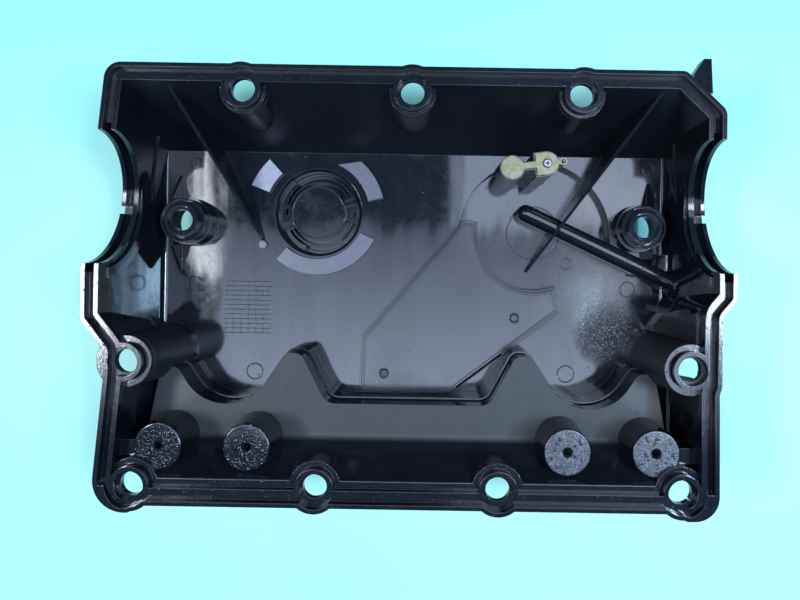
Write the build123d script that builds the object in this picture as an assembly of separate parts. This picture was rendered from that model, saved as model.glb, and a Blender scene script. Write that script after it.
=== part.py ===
"""Moulded valve cover of a three-cylinder engine, lying on its crown with the open side up.

Millimetres, +Z up, X along the crankshaft. The origin lies on the resting plane, below the
middle of the gasket flange. Every depth is measured down from the crest of the flange lips.
"""
from build123d import *
from math import atan2, cos, degrees, hypot, radians, sin, tan
import os

os.makedirs("parts", exist_ok=True)

# ---- heights and walls ------------------------------------------------------------------
wall = 3.0                      # general wall of the moulding
flange_height = 90.0            # crest of the flange lips above the resting plane
floor_depth = 65.0              # main inside floor below the lips
recess_step = 8.0               # regulator side of the floor lies this much deeper
shelf_depth = 33.0              # rocker-side shelf below the lips
pad_depth = 7.0                 # tops of the four bearing pads below the lips
post_depth = 45.0               # tops of the two hold-down posts below the lips
reed_depth = 32.0               # mouth of the oil drain below the lips
ledge_height = 15.0             # small step that runs round the foot of the walls
ledge_width = 1.2

lip_z = flange_height
floor_z = lip_z - floor_depth
recess_z = floor_z - recess_step
shelf_z = lip_z - shelf_depth
crown_z = floor_z - wall
recess_crown_z = recess_z - wall

# ---- gasket flange ----------------------------------------------------------------------
outer_lip = 2.3
groove_width = 4.7
inner_lip = 2.5
groove_depth = 5.0
seat_thickness = 4.0            # web left under the gasket groove and the bolt heads
flange_thickness = groove_depth + seat_thickness
flange_width = outer_lip + groove_width + inner_lip
wall_inset = flange_width - wall

top_y = 119.7                   # straight long edges of the flange
bottom_y = -115.6
foot_y = -119.5                 # the two lower corners reach a little further
end_x = 174.3                   # widest part, beside the camshaft arches
shoulder_x = 167.3              # ends above the arches

arch_radius = 35.5              # camshaft housing bore that the end arches seal on
arch_y = 48.1
arch_top_y = arch_y + arch_radius
arch_foot_y = arch_y - arch_radius - 2.1
arch_step = 8.0                 # depth of the second rim inside the arch
arch_step_proud = 1.5           # how far it stands out of the end wall
drain_notch_width = 4.6
drain_notch_y = 44.2

# ---- bolts ------------------------------------------------------------------------------
bolt_hole_radius = 6.4
bolt_pitch_top = 91.2
bolt_top_y = 107.1
bolt_pitch_bottom = 98.2
bolt_bottom_y = -105.3
bolt_side_x = 151.5
bolt_side_y = -39.6
bolt_lobe_radius = 13.7
front_lobe_radius = 13.5
side_lobe_radius = 15.5         # these two lobes lie below the lips
side_lobe_drop = 3.5
corner_lobe_radius = 12.8       # groove wall round the corner bolts
seat_ring_radius = 7.9          # groove widens to this round each bolt
pocket_radius = 10.9            # clearance for the bolt head, outside the wall
rear_pocket_radius = 9.6        # the rear bolts have less room
bulge_growth = 2.6              # draft of those pockets between flange and floor

end_floor_x = 157.2             # end walls at the floor
end_top_x = 165.2               # and just below the flange
outlet_floor_x = 160.7          # the wall stands steeper beside the gas outlet
outlet_wall_y = 24.0            # from here forward
foot_round = 3.2                # fillet along the foot of the end walls
cheek_foot_x = 148.5            # wall below the lip's slanted waist, at the recess floor
cheek_splay = 2.6               # its slanted side leans back this far by that floor

# ---- crown, shelf and sloping long walls --------------------------------------------------
top_wall_run = 25.5             # how far the rear wall leans in by the floor
rim_ledge = 4.3                 # narrow ledge inside the front lip
rim_ledge_depth = 4.0
front_foot_y = -86.5            # where the front slope meets the shelf
shelf_fillet = 5.0
pocket_floor_y = -84.0          # side pockets beside the shelf end here
wave_axis_x = -1.2
wave_low_y = -66.4
wave_peak_y = -37.4
wave_end_y = -46.4

# ---- bearing pads, posts -------------------------------------------------------------------
pad_x = (87.0, 135.0)
pad_y = -85.7
pad_radius = 12.9
pad_foot_growth = 1.3
pad_edge = 1.1
pad_hole_radius = 1.9
pad_hole_depth = 12.0
pad_sink_radius = 3.0
pad_sink_depth = 0.9
tie_width = 8.6
tie_depth = 9.0

post_x = 138.3
post_y = 39.6
post_radius = 13.3
post_foot_growth = 0.6
post_collar_drop = 9.0
post_step = 1.0
post_rib_reach = 15.0
post_rib_height = 15.0
post_rib_offset = 8.5           # the ribs stand between post and end wall
post_hole_radius = 6.25
post_web = 3.5
post_well_radius = 11.2
post_rim_radius = 9.9
post_rim_width = 1.7
post_rim_height = 2.2
post_groove_radius = 12.1

# ---- oil filler ------------------------------------------------------------------------------
neck_x = -60.6
neck_y = 47.2
neck_bore = 26.0
neck_opening = 27.5
neck_outer = 29.0
neck_lip_outer = 31.0
neck_end_z = 12.0
bayonet_inner = 22.6
bayonet_z = 14.6
bayonet_thickness = 2.5
bayonet_gap_angle = 62.0
filler_pad_height = 3.0
filler_pads = [
    (32.6, 44.5, 133.0, 158.5, None),
    (32.3, 41.8, 13.3, 50.3, 67.9),
    (29.3, 39.2, 229.5, 335.0, None),
]

# ---- oil filler cap -----------------------------------------------------------------------
plug_radius = 17.0
plug_wall = 2.2
plug_end_z = floor_z - 0.5
lug_reach = 24.3
lug_angle = 46.0
lug_middle = 188.0
lug_thickness = 2.8
lug_rib = 1.6
lug_rib_height = 2.6
cap_clearance = 0.3
cap_collar_clearance = 0.08
cap_flange_radius = 31.5
cap_flange_thickness = 2.4
cap_seal_thickness = 1.8
cap_seal_inner = 26.9
grip_radius = 34.0
grip_wall = 2.2
grip_top = 2.6
grip_bar_width = 11.0
grip_bar_round = 4.0
grip_flutes = 24
grip_flute_radius = 1.6

# ---- crankcase pressure regulator -----------------------------------------------------------
recess_x = 75.1
recess_y = 33.4
recess_radius = 48.2
dome_x = 75.3
dome_y = 36.7
dome_outer = 37.4
dome_wall = 2.6
dome_end_z = 5.0
tube_outer = 17.3
tube_wall = 2.0
tube_end_z = 8.2
lid_top = 2.4
lid_wall = 2.0
lid_skirt = 8.0
lid_clearance = 0.1
catch_count = 6
catch_width = 9.0
catch_height = 2.2
catch_reach = 1.1
diaphragm_z = 5.4

# ---- gas duct to the outlet nipple ----------------------------------------------------------
duct_start = (69.5, 48.6)
duct_end = (141.6, 15.6)
duct_radius = 5.3
duct_bore = 3.8
duct_axis_z = floor_z + 3.0
duct_tail_radius = 4.9          # thinner stretch between the end plate and the wall
duct_plate_radius = 6.1
duct_plate = 2.2
duct_boss_radius = 8.0
duct_boss_length = 5.0
nipple_radius = 6.6
nipple_reach = 35.0             # its end, measured from the duct's end plate
nipple_lead = 0.6

# ---- oil drain with reed valve -------------------------------------------------------------
drain_x = 57.4
drain_y = 72.1
drain_radius = 7.3
drain_bore = 5.0
drain_sump_radius = 8.0
reed_reach = 20.3               # drain centre to rivet
reed_angle = 7.9                # lie of the reed against the X axis
reed_thickness = 0.4
reed_play = 0.15
reed_disc_radius = 6.5
reed_neck_width = 3.3
reed_head_half = 6.4
reed_tip_reach = 9.5
reed_block_margin = 0.9
reed_web_width = 5.2
reed_block_relief = 0.9
rivet_radius = 1.5
rivet_head_radius = 2.7
rivet_length = 9.0
rivet_hole_clearance = 0.1
guide_pin_radius = 0.9
guide_pin_clearance = 0.35

# ---- oil separator chamber and its baffle plate -----------------------------------------------
baffle_points = [(31.8, 42.0), (-30.4, -30.1), (-31.6, -64.2), (24.1, -63.4), (90.7, -12.3), (87.4, 1.2)]
baffle_arc_radius = 37.9
baffle_thickness = 2.5
baffle_proud = 1.0
baffle_clearance = 0.2
baffle_rim = 1.3
baffle_rim_height = 0.8
baffle_seat = 3.0
bead_width = 1.2
bead_height = 0.8
inlet_width = 1.4
baffle_pin_points = [(-17.6, -53.2), (63.7, -17.2)]
baffle_pin_radius = 1.8
baffle_pin_head = 2.8
baffle_pin_sink = 3.3
baffle_pin_length = 8.0
pin_column_radius = 4.2

# ---- long gusset ribs ------------------------------------------------------------------------
rib_thickness = 1.7
rib_left = ((-133.0, 113.0), (-94.5, 29.1))
rib_right = ((137.0, 113.0), (71.3, 11.9))
rib_boss = (-94.8, 26.4)
rib_boss_radius = 2.5
rib_boss_height = 2.6
rib_top_drop = 1.0              # upper end of the ribs below the lips

# ---- ejector marks on the floor -----------------------------------------------------------
mark_depth = 0.35
floor_marks = [(-138.3, 77.1, 3.8), (-137.6, 0.9, 5.0), (-98.9, -53.3, 5.2), (146.5, 77.4, 3.8)]
recess_marks = [(98.2, -53.2, 5.5), (137.0, 1.6, 5.0), (97.6, 17.3, 3.6)]

# ---- outside ribs and lug -----------------------------------------------------------------
outer_rib = 2.2
outer_rib_drop = 22.0
outer_rib_top_x = (-137.0, -45.0, 45.0, 130.0)
outer_rib_bottom_x = (-98.0, -24.0, 24.0, 98.0)
lug_points = [(152.5, 121.0), (157.3, 128.6), (161.3, 128.6), (162.4, 110.0)]
lug_drop = 6.0

waist = [(end_x, -1.8), (shoulder_x - 0.3, -10.6)]   # slanted stretch of the outlet end

BIG = 400.0                     # reach of cutting bodies, larger than the part

rear_bolts = [(i * bolt_pitch_top, bolt_top_y) for i in (-1, 0, 1)]
side_bolts = [(side * bolt_side_x, bolt_side_y) for side in (-1, 1)]
front_bolts = [(i * bolt_pitch_bottom / 2, bolt_bottom_y) for i in (-3, -1, 1, 3)]
bolt_points = rear_bolts + side_bolts + front_bolts
bolt_rooms = [(x, y, rear_pocket_radius) for x, y in rear_bolts]
bolt_rooms += [(x, y, pocket_radius) for x, y in side_bolts + front_bolts]


# ---- helpers --------------------------------------------------------------------------------
def disc(x, y, radius):
    """Flat disc in plan."""
    return Pos(x, y) * Circle(radius)


def prism(face, low, high):
    """Straight body over a plan face, between two heights."""
    return extrude(Pos(0, 0, low) * face, high - low)


def rod(x, y, low, high, radius, top_radius=None):
    """Upright round body, tapered when a top radius is given."""
    length = high - low
    if top_radius is None or abs(top_radius - radius) < 1e-9:
        body = Cylinder(radius, length)
    else:
        body = Cone(radius, top_radius, length)
    return Pos(x, y, (low + high) / 2) * body


def ring(x, y, low, high, outer, inner):
    """Upright ring."""
    return rod(x, y, low, high, outer) - rod(x, y, low - 1, high + 1, inner)


def closed_face(corners):
    """Face from corners given as (x, y, corner radius)."""
    points = [(x, y) for x, y, _ in corners]
    radii = [r for _, _, r in corners]
    return make_face(FilletPolyline(*points, radius=radii, close=True))


def side_profile(points, half_length=BIG):
    """Body with a constant Y-Z section along X."""
    section = make_face(Polyline(*[(y, z) for y, z in points], close=True))
    return Plane.YZ * extrude(section, half_length, both=True)


def arc_points(radius, start, end):
    """Start, middle and end of an arc about the origin, angles in degrees."""
    return [(radius * cos(radians(a)), radius * sin(radians(a))) for a in (start, (start + end) / 2, end)]


def sector(inner, outer, start, end, inner_end=None):
    """Ring sector about the origin, angles in degrees."""
    out = arc_points(outer, start, end)
    back = arc_points(inner, inner_end or end, start)
    edges = [
        ThreePointArc(*out),
        Line(out[-1], back[0]),
        ThreePointArc(*back),
        Line(back[-1], out[0]),
    ]
    return make_face(edges)


# ---- plan outlines ------------------------------------------------------------------------
def flange_base():
    """Outer edge of the flange without its bolt lobes."""
    return closed_face([
        (-162.8, top_y, 9.0),
        (145.4, top_y, 5.0),
        (shoulder_x, 99.0, 7.0),
        (shoulder_x, arch_top_y, 0.0),
        (end_x, arch_foot_y, 4.0),
        (*waist[0], 5.0),
        (*waist[1], 5.0),
        (shoulder_x - 0.3, -48.0, 3.0),
        (shoulder_x - 1.6, -52.0, 3.0),
        (shoulder_x - 0.5, foot_y, 13.0),
        (149.5, foot_y, 4.0),
        (142.0, bottom_y, 5.0),
        (-141.0, bottom_y, 5.0),
        (-147.3, foot_y, 4.0),
        (-168.0, foot_y, 17.0),
        (-161.4, -47.0, 9.0),
        (-161.2, -33.6, 5.0),
        (-end_x, -17.2, 5.0),
        (-end_x, arch_foot_y, 4.0),
        (-shoulder_x + 0.9, arch_top_y, 0.0),
    ])


def shelf_wave():
    """Everything behind the wavy front edge of the deep floor."""
    half = [
        (47.5, wave_low_y, 9.0),
        (62.5, wave_peak_y, 6.0),
        (71.4, wave_peak_y, 6.0),
        (105.9, wave_low_y - 23.6, 27.0),
        (134.1, wave_end_y, 5.0),
        (143.4, wave_end_y, 4.5),
        (150.6, pocket_floor_y, 0.0),
    ]
    right = [(wave_axis_x + x, y, r) for x, y, r in half]
    left = [(wave_axis_x - x, y, r) for x, y, r in reversed(half)]
    frame = [
        (BIG, pocket_floor_y, 0.0),
        (BIG, BIG, 0.0),
        (-BIG, BIG, 0.0),
        (-BIG, pocket_floor_y, 0.0),
    ]
    return closed_face(left + right + frame)


def baffle_outline(margin=0.0):
    """Five-sided plate whose last side follows the regulator housing, grown by a margin."""
    outline = make_face(Polyline(*baffle_points, (dome_x, dome_y), close=True))
    if margin:
        outline = offset(outline, margin, kind=Kind.INTERSECTION)
    return outline - disc(dome_x, dome_y, baffle_arc_radius - margin)


base_face = flange_base()
inner_base = offset(base_face, -flange_width)
bolt_tops = Sketch() + [disc(x, y, room + wall) for x, y, room in bolt_rooms]
inner_edge = inner_base - [disc(x, y, seat_ring_radius + inner_lip) for x, y in bolt_points]
deep_face = shelf_wave() & inner_base


def flange_face():
    """Whole outer edge of the flange with a lobe at each bolt."""
    rear = [disc(x, y, bolt_lobe_radius) for x, y in rear_bolts]
    fore = [disc(x, y, front_lobe_radius) for x, y in front_bolts]
    return base_face + rear + fore


def groove_face():
    """Gasket groove in plan, widened round the bolts and kept round in the lower corners."""
    band = offset(flange_face(), -outer_lip) - offset(base_face, -(outer_lip + groove_width))
    band = band + [disc(x, y, seat_ring_radius) for x, y in bolt_points]
    reach = 40.0
    for side in (-1, 1):
        x = side * bolt_pitch_bottom * 1.5
        corner = Pos(x + side * reach / 2, bolt_bottom_y - reach / 2) * Rectangle(reach, reach)
        band = band - (corner - disc(x, bolt_bottom_y, corner_lobe_radius))
    return band


# ---- shell ------------------------------------------------------------------------------------
def arch_rod(radius):
    """Camshaft bore through both end walls."""
    return Pos(0, arch_y, lip_z) * Rot(0, 90, 0) * Cylinder(radius, 2 * BIG)


def lean(inset):
    """Everything in front of the sloping rear wall, at a given distance outside its inner face."""
    angle = atan2(top_wall_run, floor_depth)
    shift = inset / cos(angle)
    top = top_y - flange_width + shift
    slope = tan(angle)
    low = -50.0
    return side_profile([
        (-BIG, low),
        (top - slope * (lip_z - low), low),
        (top + slope * 20.0, lip_z + 20.0),
        (-BIG, lip_z + 20.0),
    ])


def front_inside(foot, slope, rim_y, ledge_y, ledge_z):
    """Inside of the front wall, rounded where the shelf turns up into it."""
    corners = [
        (BIG, shelf_z, 0.0),
        (foot, shelf_z, shelf_fillet),
        (ledge_y, ledge_z, 1.0),
        (rim_y, ledge_z, 0.0),
        (rim_y, BIG, 0.0),
        (BIG, BIG, 0.0),
    ]
    return Plane.YZ * extrude(closed_face(corners), BIG, both=True)


def front(inset):
    """Everything behind the front wall, which slopes from the shelf up to the rim ledge."""
    rim_y = bottom_y + flange_width
    ledge_y = rim_y + rim_ledge
    ledge_z = lip_z - rim_ledge_depth
    slope = (ledge_y - front_foot_y) / (ledge_z - shelf_z)
    low = shelf_z - inset
    low_y = front_foot_y - inset / cos(atan2(slope, 1)) - slope * inset
    if inset == 0:
        return front_inside(low_y, slope, rim_y, ledge_y, ledge_z)
    points = [(BIG, -BIG), (low_y, -BIG), (low_y, low)]
    under = lip_z - flange_thickness
    points += [(low_y + slope * (under - low), under), (rim_y - inset, under), (rim_y - inset, BIG)]
    return side_profile(points + [(BIG, BIG)])


def leaning_x(foot_x, z, inset):
    """Place of an end wall at a height, for a wall that starts at foot_x on the floor."""
    slope = (end_top_x - foot_x) / (lip_z - flange_thickness - floor_z)
    return foot_x + inset / cos(atan2(slope, 1)) + slope * (z - floor_z)


def between_ends(inset, right_foot, low, radius):
    """Body along Y between two leaning end walls, with a rounded foot."""
    high = lip_z + 20.0
    corners = [
        (-leaning_x(end_floor_x, low, inset), low, radius),
        (leaning_x(right_foot, low, inset), low, radius),
        (leaning_x(right_foot, high, inset), high, 0.0),
        (-leaning_x(end_floor_x, high, inset), high, 0.0),
    ]
    return Plane.XZ * extrude(closed_face(corners), BIG, both=True)


def end_walls(inset, low=-50.0, radius=0.0):
    """Everything between the end walls, which lean outward as they rise."""
    plain = between_ends(inset, end_floor_x, low, radius)
    steep = between_ends(inset, outlet_floor_x, low, radius)
    reach = Pos(0, outlet_wall_y + inset - BIG, 0) * Box(2 * BIG, 2 * BIG, 2 * BIG)
    return plain + (steep & reach)


def cheek():
    """Thick stretch of the outlet end, below the slanted waist of the lips."""
    (x1, y1), (x2, y2) = waist
    length = hypot(x1 - x2, y1 - y2)
    along = ((x2 - x1) / length, (y2 - y1) / length)
    edge = (x1 + along[1] * flange_width, y1 - along[0] * flange_width)
    line = Plane(origin=(edge[0], edge[1], 0), x_dir=(-along[1], along[0], 0), z_dir=(along[0], along[1], 0))
    high = lip_z + 10.0
    low = recess_z - 10.0
    splay = cheek_splay / (lip_z - recess_z) * 10.0
    slanted = [(cheek_splay + splay, low), (-splay, high), (BIG, high), (BIG, low)]
    slanted_side = line * extrude(make_face(Polyline(*slanted, close=True)), BIG, both=True)
    back_y = 2 * edge[1] - bolt_side_y
    strip = make_face(Polyline((0, bolt_side_y), (BIG, bolt_side_y), (BIG, back_y), (0, back_y), close=True))
    top_x = x2 - flange_width
    slope = (top_x - cheek_foot_x) / (lip_z - recess_z)
    section = [(cheek_foot_x - slope * 10.0, low), (top_x + slope * 10.0, high), (BIG, high), (BIG, low)]
    side = Plane.XZ * extrude(make_face(Polyline(*section, close=True)), BIG, both=True)
    return prism(strip, low, high) & slanted_side & side


def bolt_columns(margin, low, high):
    """Drafted round bodies at the bolts: pocket outside, bulge inside."""
    return [rod(x, y, low, high, room + margin + bulge_growth, room + margin) for x, y, room in bolt_rooms]


def outer_body():
    """Walls, crown and shelf as a solid block with the true outside form."""
    wall_face = offset(base_face, -wall_inset)
    deep = prism(offset(deep_face, wall) & wall_face, crown_z, lip_z)
    shallow = prism(wall_face, shelf_z - wall, lip_z) & front(wall)
    return (deep + shallow) & lean(wall) & end_walls(wall)


def cavity():
    """Inside of the cover, down to the main floor."""
    low = prism(offset(deep_face, -ledge_width), floor_z, floor_z + ledge_height + 1)
    deep = prism(deep_face, floor_z + ledge_height, lip_z + 5)
    shallow = prism(inner_base, shelf_z, lip_z + 5) & front(0.0)
    body = (low + deep + shallow) & lean(0.0) & end_walls(0.0, floor_z, foot_round)
    for column in bolt_columns(wall, recess_z - 5, lip_z - rim_ledge_depth):
        body = body - column
    body = body - cheek()
    rim = prism(inner_edge - bolt_tops, lip_z - flange_thickness, lip_z + 5)
    over = prism(inner_edge, lip_z - rim_ledge_depth, lip_z + 5)
    return body + ((rim + over) & front(0.0) & lean(0.0))


def flange():
    """Flange plate with gasket groove, dipping through the two end arches."""
    plate = prism(flange_face() - inner_edge, lip_z - flange_thickness, lip_z)
    tops = bolt_tops & (base_face + [disc(0, bolt_top_y, 1)])
    plate = plate + prism(tops, lip_z - flange_thickness, lip_z - rim_ledge_depth)
    for side in (-1, 1):
        ear = disc(side * bolt_side_x, bolt_side_y, side_lobe_radius)
        plate = plate + prism(ear, lip_z - flange_thickness - 1.0, lip_z - side_lobe_drop) - prism(
            inner_base, lip_z - flange_thickness - 2.0, lip_z - side_lobe_drop + 1)
        plate = plate + prism(ear & bolt_tops, lip_z - flange_thickness, lip_z - rim_ledge_depth)
    band = prism(base_face - inner_base, lip_z - BIG / 2, lip_z)
    inside = inner_base - offset(base_face, -(flange_width + arch_step))
    step = prism(inside, lip_z - BIG / 2, lip_z - flange_thickness) - end_walls(-arch_step_proud)
    rim = arch_rod(arch_radius + flange_thickness)
    inner_step = arch_rod(arch_radius + flange_thickness) - arch_rod(arch_radius + 3.0)
    ends = Pos(0, arch_y, 0) * Box(BIG, 2 * (arch_radius + flange_thickness), BIG)
    return plate + (band & rim & ends) + (step & inner_step & ends)


def flange_cuts():
    """Gasket groove, arch openings, drain notches and bolt holes."""
    groove = groove_face()
    flat = prism(groove, lip_z - groove_depth, lip_z + 5)
    dip = prism(groove, lip_z - BIG / 2, lip_z + 5) & arch_rod(arch_radius + groove_depth)
    opening = arch_rod(arch_radius)
    notch_z = lip_z - arch_radius
    notch = Pos(0, drain_notch_y, notch_z) * Box(BIG, drain_notch_width, 2 * groove_depth)
    notch = notch - prism(offset(base_face, -(outer_lip + groove_width)), 0, lip_z)
    holes = [rod(x, y, lip_z - 20, lip_z + 5, bolt_hole_radius) for x, y in bolt_points]
    return [flat, dip, opening, notch] + holes


def posts():
    """Two hollow hold-down posts."""
    top = lip_z - post_depth
    add = []
    cut = []
    for side in (-1, 1):
        x = side * post_x
        step = top - post_collar_drop
        foot = post_radius + post_step
        add.append(rod(x, post_y, recess_z, step, foot + post_foot_growth, foot))
        add.append(rod(x, post_y, step - 1, top, post_radius))
        rib = Box(rib_thickness, 2 * (foot + post_rib_reach), post_rib_height)
        ends = rib.edges().filter_by(Axis.X).group_by(Axis.Z)[-1]
        rib = chamfer(ends, post_rib_height - 1.5, post_rib_reach - 1.0)
        add.append(Pos(x + side * post_rib_offset, post_y, floor_z + post_rib_height / 2 - 0.5) * rib)
        add.append(rod(x, post_y, top, top + post_rim_height, post_rim_radius))
        cut.append(rod(x, post_y, -5, top - post_web, post_well_radius + 1.2, post_well_radius))
        cut.append(rod(x, post_y, 0, lip_z, post_hole_radius))
        cut.append(rod(x, post_y, top + 0.6, lip_z, post_rim_radius - post_rim_width))
        cut.append(ring(x, post_y, top - 1.2, top, post_groove_radius, post_rim_radius))
    return add, cut


def pads():
    """Four bearing pads standing on the shelf, the outer two tied to the end walls."""
    add = []
    cut = []
    top = lip_z - pad_depth
    for side in (-1, 1):
        for x in pad_x:
            pad = rod(side * x, pad_y, shelf_z - 1, top, pad_radius + pad_foot_growth, pad_radius)
            add.append(fillet(pad.edges().sort_by(Axis.Z)[-1], pad_edge))
            cut.append(rod(side * x, pad_y, top - pad_hole_depth, top + 1, pad_hole_radius))
            cut.append(rod(side * x, pad_y, top - pad_sink_depth, top, pad_hole_radius, pad_sink_radius))
        wall_x = bolt_side_x + 6.0
        low = pad_x[1] + pad_radius - 3.0
        tie = Box(wall_x - low, tie_width, 12.0)
        add.append(Pos(side * (wall_x + low) / 2, pad_y - 1.4, lip_z - tie_depth - 6.0) * tie)
    return add, cut


def filler_neck():
    """Neck of the oil filler with its two-gap bayonet ledge and the raised pads round it."""
    here = Pos(neck_x, neck_y)
    add = [
        rod(neck_x, neck_y, neck_end_z, crown_z + 1, neck_outer),
        rod(neck_x, neck_y, neck_end_z, neck_end_z + 2.4, neck_lip_outer),
    ]
    pad_low = floor_z - 0.5
    pad_high = floor_z + filler_pad_height
    for inner, outer, start, end, inner_end in filler_pads:
        add.append(prism(here * sector(inner, outer, start, end, inner_end), pad_low, pad_high))
    bore = rod(neck_x, neck_y, neck_end_z - 1, floor_z + 1, neck_bore)
    mouth = rod(neck_x, neck_y, floor_z - (neck_opening - neck_bore), floor_z, neck_bore, neck_opening)
    ledge = ring(neck_x, neck_y, bayonet_z, bayonet_z + bayonet_thickness, neck_bore + 1, bayonet_inner)
    for middle in (lug_middle - 90, lug_middle + 90):
        start = middle - bayonet_gap_angle / 2
        gap = sector(bayonet_inner - 1, neck_bore, start, start + bayonet_gap_angle)
        ledge = ledge - prism(here * gap, bayonet_z - 1, bayonet_z + bayonet_thickness + 1)
    return add, [bore, mouth], ledge


def duct_frame():
    """Length, heading and start of the gas duct."""
    dx = duct_end[0] - duct_start[0]
    dy = duct_end[1] - duct_start[1]
    return hypot(dx, dy), degrees(atan2(dy, dx))


def along_duct(start, length, radius, z=None):
    """Round body on the duct axis."""
    _, heading = duct_frame()
    place = Pos(duct_start[0], duct_start[1], duct_axis_z) * Rot(0, 0, heading)
    return place * Pos(start + length / 2, 0, 0) * Rot(0, 90, 0) * Cylinder(radius, length)


def duct():
    """Gas duct across the floor, ending in a hose nipple outside the end wall."""
    length, heading = duct_frame()
    place = Pos(duct_start[0], duct_start[1], 0) * Rot(0, 0, heading)
    boss_start = (outlet_floor_x - duct_end[0]) / cos(radians(heading)) + length
    nipple_start = boss_start + duct_boss_length
    total = length + nipple_reach
    web_height = duct_axis_z - recess_z + 1.0
    upright = (Align.MIN, Align.CENTER, Align.MIN)
    web = Box(length, 2 * duct_radius, web_height, align=upright)
    tail_web = Box(boss_start, 2 * duct_tail_radius, web_height, align=upright)
    plate_web = Box(duct_plate, 2 * duct_plate_radius, web_height, align=upright)
    nose = rod(duct_start[0], duct_start[1], recess_z - 1, duct_axis_z, duct_radius)
    add = [
        along_duct(0, length, duct_radius),
        along_duct(length, duct_plate, duct_plate_radius),
        along_duct(0, nipple_start, duct_tail_radius),
        Pos(duct_start[0], duct_start[1], duct_axis_z) * Sphere(duct_radius),
        place * Pos(0, 0, recess_z - 1) * web,
        place * Pos(0, 0, recess_z - 1) * tail_web,
        place * Pos(length, 0, recess_z - 1) * plate_web,
        nose,
        along_duct(boss_start, duct_boss_length, duct_boss_radius),
        along_duct(nipple_start - 2, total - nipple_start, nipple_radius),
        along_duct(total - 2.1, 2.1, nipple_radius - nipple_lead),
    ]
    inward = tube_outer - tube_wall - duct_bore - 0.3
    away = hypot(duct_start[0] - dome_x, duct_start[1] - dome_y)
    port_x = dome_x + (duct_start[0] - dome_x) * inward / away
    port_y = dome_y + (duct_start[1] - dome_y) * inward / away
    cut = [
        along_duct(0, total + 5, duct_bore),
        rod(port_x, port_y, tube_end_z, duct_axis_z, duct_bore),
    ]
    return add, cut


def regulator():
    """Housing of the pressure regulator outside, with its gas tube and drain sump."""
    add = [
        ring(dome_x, dome_y, dome_end_z, recess_crown_z + 1, dome_outer, dome_outer - dome_wall),
        ring(dome_x, dome_y, tube_end_z, recess_crown_z + 1, tube_outer, tube_outer - tube_wall),
        rod(drain_x, drain_y, recess_crown_z - 3.0, recess_crown_z + 1, drain_sump_radius),
    ]
    for index in range(catch_count):
        turn = Pos(dome_x, dome_y) * Rot(0, 0, 360 / catch_count * (index + 0.5))
        low = dome_end_z + 1.6
        catch = Box(catch_reach + 1, catch_width, catch_height, align=(Align.MIN, Align.CENTER, Align.MIN))
        add.append(turn * Pos(dome_outer - 1, 0, low) * catch)
    ring_mark = ring(dome_x, dome_y, recess_z - 1.2, recess_z + 1, tube_outer, tube_outer - 1.0)
    toward = degrees(atan2(dome_y - drain_y, dome_x - drain_x))
    channel_z = recess_crown_z - 0.4
    channel = Rot(0, 0, toward) * Pos(5, 0, 0) * Rot(0, 90, 0) * Cylinder(1.4, 10)
    cut = [
        ring_mark,
        rod(drain_x, drain_y, recess_crown_z - 1.2, lip_z, drain_bore),
        Pos(drain_x, drain_y, channel_z) * channel,
    ]
    return add, cut


def reed_place(z):
    """Frame at the rivet, with +X pointing away from the drain."""
    x = drain_x + reed_reach * cos(radians(reed_angle))
    y = drain_y + reed_reach * sin(radians(reed_angle))
    return Pos(x, y, z) * Rot(0, 0, reed_angle)


def reed_head(margin):
    """Plan of the reed's clamped head, grown by a margin."""
    depth = reed_head_half + 2 * margin
    square = Pos(-reed_head_half / 2, 0) * Rectangle(depth, 2 * (reed_head_half + margin))
    return square + Circle(reed_head_half + margin)


def drain_tower():
    """Drain tube and the block that carries the reed."""
    top = lip_z - reed_depth
    block_low = reed_place(0) * reed_head(reed_block_margin)
    tip = reed_place(0) * Pos(reed_tip_reach, 0) * Circle(guide_pin_radius + 1.0)
    land = reed_place(0) * Circle(rivet_head_radius - 0.1)
    pin = reed_place(0) * Pos(reed_tip_reach, 0) * Circle(guide_pin_radius)
    web = reed_place(recess_z) * Pos(-reed_reach / 2, 0, 0)
    web_size = (reed_reach, reed_web_width, top - recess_z - reed_block_relief)
    web_body = Box(*web_size, align=(Align.CENTER, Align.CENTER, Align.MIN))
    add = [
        rod(drain_x, drain_y, recess_z - 1, top, drain_radius + 0.8, drain_radius),
        prism(block_low + tip, recess_z - 1, top - reed_block_relief),
        prism(land, top - 2, top),
        prism(pin, top - 2, top + 1.6),
        web * web_body,
    ]
    cut = [prism(reed_place(0) * Circle(rivet_radius), top - rivet_length, top + 1)]
    return add, cut


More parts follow.
